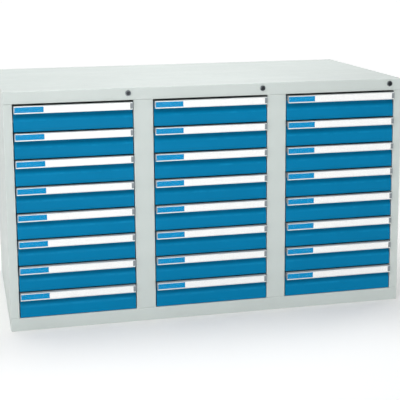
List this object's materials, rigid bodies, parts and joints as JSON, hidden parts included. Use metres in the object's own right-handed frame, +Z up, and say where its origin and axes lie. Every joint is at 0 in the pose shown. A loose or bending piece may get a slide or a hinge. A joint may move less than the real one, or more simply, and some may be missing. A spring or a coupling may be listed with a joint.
{
  "type": "industrial drawer cabinet",
  "caption": "Sheet-steel workshop cabinet with side-by-side columns of shallow full-width drawers, each with a handle rail that holds a label, and a key lock over each column.",
  "frame": {"origin": "centre of the footprint, on the surface that the cabinet stands on", "axes": "+Z up, front faces -Y, +X to the right as seen from the front; drawers slide out along -Y"},
  "size_m": [1.54, 0.816, 0.9],
  "materials": {
    "housing_grey": "satin",
    "front_blue": "satin",
    "rail_light": "satin",
    "lock_metal": "satin",
    "tray_grey": "satin",
    "label_card": "matte",
    "label_window": "gloss",
    "end_cap": "matte",
    "roller_plastic": "matte",
    "zinc_steel": "satin"
  },
  "bodies": {
    "housing": {"top_cover": "housing_grey", "left_side": "housing_grey", "right_side": "housing_grey", "partition_left": "housing_grey", "partition_right": "housing_grey", "back_panel": "housing_grey", "base_frame": "housing_grey", "floor_panel": "housing_grey"},
    "drawer_A1": {"drawer_A1": "front_blue", "handle_rail_A1": "rail_light"},
    "drawer_A2": {"drawer_A2": "front_blue", "handle_rail_A2": "rail_light"},
    "drawer_A3": {"drawer_A3": "front_blue", "handle_rail_A3": "rail_light"},
    "drawer_A4": {"drawer_A4": "front_blue", "handle_rail_A4": "rail_light"},
    "drawer_A5": {"drawer_A5": "front_blue", "handle_rail_A5": "rail_light"},
    "drawer_A6": {"drawer_A6": "front_blue", "handle_rail_A6": "rail_light"},
    "drawer_A7": {"drawer_A7": "front_blue", "handle_rail_A7": "rail_light"},
    "drawer_A8": {"drawer_A8": "front_blue", "handle_rail_A8": "rail_light"},
    "drawer_B1": {"drawer_B1": "front_blue", "handle_rail_B1": "rail_light"},
    "drawer_B2": {"drawer_B2": "front_blue", "handle_rail_B2": "rail_light"},
    "drawer_B3": {"drawer_B3": "front_blue", "handle_rail_B3": "rail_light"},
    "drawer_B4": {"drawer_B4": "front_blue", "handle_rail_B4": "rail_light"},
    "drawer_B5": {"drawer_B5": "front_blue", "handle_rail_B5": "rail_light"},
    "drawer_B6": {"drawer_B6": "front_blue", "handle_rail_B6": "rail_light"},
    "drawer_B7": {"drawer_B7": "front_blue", "handle_rail_B7": "rail_light"},
    "drawer_B8": {"drawer_B8": "front_blue", "handle_rail_B8": "rail_light"},
    "drawer_C1": {"drawer_C1": "front_blue", "handle_rail_C1": "rail_light"},
    "drawer_C2": {"drawer_C2": "front_blue", "handle_rail_C2": "rail_light"},
    "drawer_C3": {"drawer_C3": "front_blue", "handle_rail_C3": "rail_light"},
    "drawer_C4": {"drawer_C4": "front_blue", "handle_rail_C4": "rail_light"},
    "drawer_C5": {"drawer_C5": "front_blue", "handle_rail_C5": "rail_light"},
    "drawer_C6": {"drawer_C6": "front_blue", "handle_rail_C6": "rail_light"},
    "drawer_C7": {"drawer_C7": "front_blue", "handle_rail_C7": "rail_light"},
    "drawer_C8": {"drawer_C8": "front_blue", "handle_rail_C8": "rail_light"},
    "lock_A": {"lock_A": "lock_metal"},
    "lock_B": {"lock_B": "lock_metal"},
    "lock_C": {"lock_C": "lock_metal"}
  },
  "joints": [
    {"name": "slide_A1", "type": "slide", "parent": "housing", "child": "drawer_A1", "axis": [0, -1, 0], "range_m": [0, 0.56]},
    {"name": "slide_A2", "type": "slide", "parent": "housing", "child": "drawer_A2", "axis": [0, -1, 0], "range_m": [0, 0.56]},
    {"name": "slide_A3", "type": "slide", "parent": "housing", "child": "drawer_A3", "axis": [0, -1, 0], "range_m": [0, 0.56]},
    {"name": "slide_A4", "type": "slide", "parent": "housing", "child": "drawer_A4", "axis": [0, -1, 0], "range_m": [0, 0.56]},
    {"name": "slide_A5", "type": "slide", "parent": "housing", "child": "drawer_A5", "axis": [0, -1, 0], "range_m": [0, 0.56]},
    {"name": "slide_A6", "type": "slide", "parent": "housing", "child": "drawer_A6", "axis": [0, -1, 0], "range_m": [0, 0.56]},
    {"name": "slide_A7", "type": "slide", "parent": "housing", "child": "drawer_A7", "axis": [0, -1, 0], "range_m": [0, 0.56]},
    {"name": "slide_A8", "type": "slide", "parent": "housing", "child": "drawer_A8", "axis": [0, -1, 0], "range_m": [0, 0.56]},
    {"name": "slide_B1", "type": "slide", "parent": "housing", "child": "drawer_B1", "axis": [0, -1, 0], "range_m": [0, 0.56]},
    {"name": "slide_B2", "type": "slide", "parent": "housing", "child": "drawer_B2", "axis": [0, -1, 0], "range_m": [0, 0.56]},
    {"name": "slide_B3", "type": "slide", "parent": "housing", "child": "drawer_B3", "axis": [0, -1, 0], "range_m": [0, 0.56]},
    {"name": "slide_B4", "type": "slide", "parent": "housing", "child": "drawer_B4", "axis": [0, -1, 0], "range_m": [0, 0.56]},
    {"name": "slide_B5", "type": "slide", "parent": "housing", "child": "drawer_B5", "axis": [0, -1, 0], "range_m": [0, 0.56]},
    {"name": "slide_B6", "type": "slide", "parent": "housing", "child": "drawer_B6", "axis": [0, -1, 0], "range_m": [0, 0.56]},
    {"name": "slide_B7", "type": "slide", "parent": "housing", "child": "drawer_B7", "axis": [0, -1, 0], "range_m": [0, 0.56]},
    {"name": "slide_B8", "type": "slide", "parent": "housing", "child": "drawer_B8", "axis": [0, -1, 0], "range_m": [0, 0.56]},
    {"name": "slide_C1", "type": "slide", "parent": "housing", "child": "drawer_C1", "axis": [0, -1, 0], "range_m": [0, 0.56]},
    {"name": "slide_C2", "type": "slide", "parent": "housing", "child": "drawer_C2", "axis": [0, -1, 0], "range_m": [0, 0.56]},
    {"name": "slide_C3", "type": "slide", "parent": "housing", "child": "drawer_C3", "axis": [0, -1, 0], "range_m": [0, 0.56]},
    {"name": "slide_C4", "type": "slide", "parent": "housing", "child": "drawer_C4", "axis": [0, -1, 0], "range_m": [0, 0.56]},
    {"name": "slide_C5", "type": "slide", "parent": "housing", "child": "drawer_C5", "axis": [0, -1, 0], "range_m": [0, 0.56]},
    {"name": "slide_C6", "type": "slide", "parent": "housing", "child": "drawer_C6", "axis": [0, -1, 0], "range_m": [0, 0.56]},
    {"name": "slide_C7", "type": "slide", "parent": "housing", "child": "drawer_C7", "axis": [0, -1, 0], "range_m": [0, 0.56]},
    {"name": "slide_C8", "type": "slide", "parent": "housing", "child": "drawer_C8", "axis": [0, -1, 0], "range_m": [0, 0.56]},
    {"name": "turn_lock_A", "type": "hinge", "parent": "housing", "child": "lock_A", "pos_m": [-0.314, -0.392, 0.88], "axis": [0, 1, 0], "range_deg": [0, 90]},
    {"name": "turn_lock_B", "type": "hinge", "parent": "housing", "child": "lock_B", "pos_m": [0.202, -0.392, 0.88], "axis": [0, 1, 0], "range_deg": [0, 90]},
    {"name": "turn_lock_C", "type": "hinge", "parent": "housing", "child": "lock_C", "pos_m": [0.718, -0.392, 0.88], "axis": [0, 1, 0], "range_deg": [0, 90]}
  ]
}
